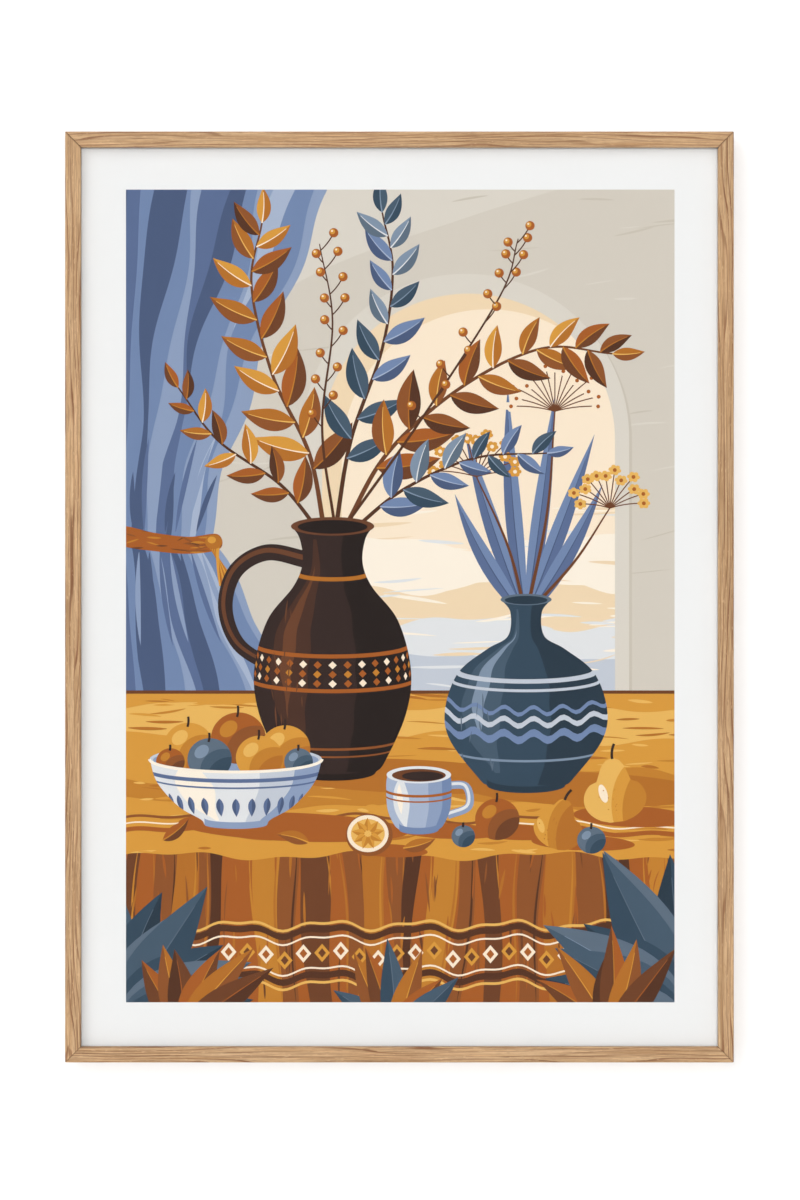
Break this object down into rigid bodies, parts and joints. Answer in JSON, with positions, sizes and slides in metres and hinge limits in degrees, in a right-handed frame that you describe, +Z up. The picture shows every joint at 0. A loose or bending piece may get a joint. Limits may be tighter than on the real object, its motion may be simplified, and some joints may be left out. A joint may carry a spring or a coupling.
{
  "type": "framed art print",
  "caption": "Portrait print on a white-margined 50 x 70 cm sheet behind a clear pane, in a thin mitred oak frame with a hardboard back and toothed wall hangers.",
  "frame": {"origin": "on the wall, on the frame's upright centre line, where the nail stands under the middle notch of the upper hanger", "axes": "+Z up along the frame's long side, +Y into the wall, the print faces -Y, +X to the viewer's right"},
  "size_m": [0.51, 0.022, 0.71],
  "materials": {
    "oak": "clear-oiled solid oak, matt, grain along each rail",
    "pane": "clear polished acrylic sheet",
    "paper": "uncoated heavy print paper, flat inks, white margin",
    "hardboard": "pressed wood-fibre board, smooth face",
    "hanger_steel": "brass-plated pressed steel",
    "point_steel": "zinc-plated spring steel"
  },
  "bodies": {
    "root": {"rail_top": "oak", "rail_right": "oak", "rail_bottom": "oak", "rail_left": "oak", "pane": "pane", "printed_sheet": "paper", "back_board": "hardboard", "hanger_portrait": "hanger_steel", "hanger_landscape": "hanger_steel", "rivet_portrait_1": "hanger_steel", "rivet_portrait_2": "hanger_steel", "rivet_landscape_1": "hanger_steel", "rivet_landscape_2": "hanger_steel", "point_top_1": "point_steel", "point_top_2": "point_steel", "point_top_3": "point_steel", "point_right_1": "point_steel", "point_right_2": "point_steel", "point_right_3": "point_steel", "point_right_4": "point_steel", "point_bottom_1": "point_steel", "point_bottom_2": "point_steel", "point_bottom_3": "point_steel", "point_left_1": "point_steel", "point_left_2": "point_steel", "point_left_3": "point_steel", "point_left_4": "point_steel"}
  },
  "joints": []
}
